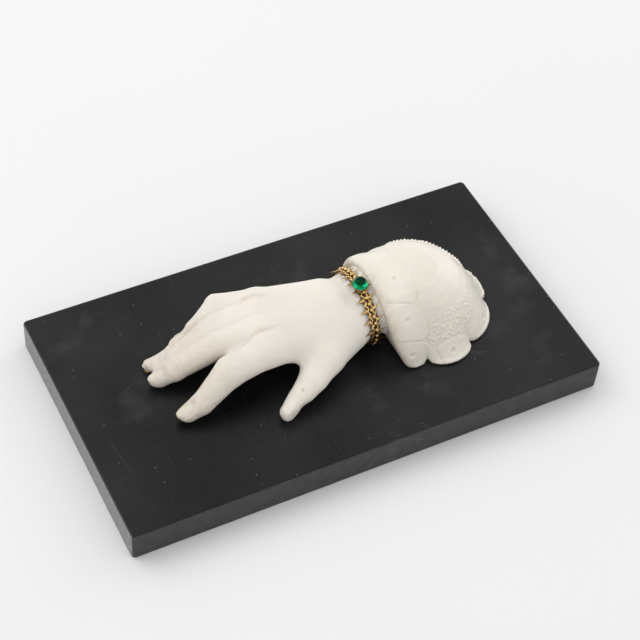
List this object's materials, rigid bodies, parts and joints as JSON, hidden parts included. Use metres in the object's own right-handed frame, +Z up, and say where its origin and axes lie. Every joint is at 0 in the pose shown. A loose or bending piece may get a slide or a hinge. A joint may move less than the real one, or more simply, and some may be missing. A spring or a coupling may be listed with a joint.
{
  "type": "hand paperweight",
  "caption": "Carved alabaster hand with a lace cuff and a gilt leaf bracelet set with a green stone, laid palm down on a black marble slab to weigh down papers on a desk.",
  "frame": {"origin": "middle of the slab's underside", "axes": "+X along the slab from the fingertips towards the cuff, +Y across the slab away from the thumb, +Z up"},
  "size_m": [0.2, 0.112, 0.0437],
  "materials": {
    "marble": "polished black marble, worn and lightly scratched",
    "alabaster": "satin, warm ivory, slightly translucent",
    "cuff_alabaster": "satin, greyer than the hand, carved lace ground",
    "plaster": "matte setting plaster",
    "glue": "old amber glue",
    "gilt": "gilt brass, darkened in the hollows",
    "foil": "bright foil",
    "paste": "polished green paste"
  },
  "bodies": {
    "root": {"slab": "marble", "hand": "alabaster", "cuff": "cuff_alabaster", "wrist_cement": "plaster", "cuff_cement": "plaster", "index_glue": "glue", "middle_glue": "glue", "ring_glue": "glue", "little_glue": "glue", "thumb_glue": "glue", "bracelet_strip": "gilt", "stone_collet": "gilt", "stone_foil": "foil", "stone": "paste"}
  },
  "joints": []
}
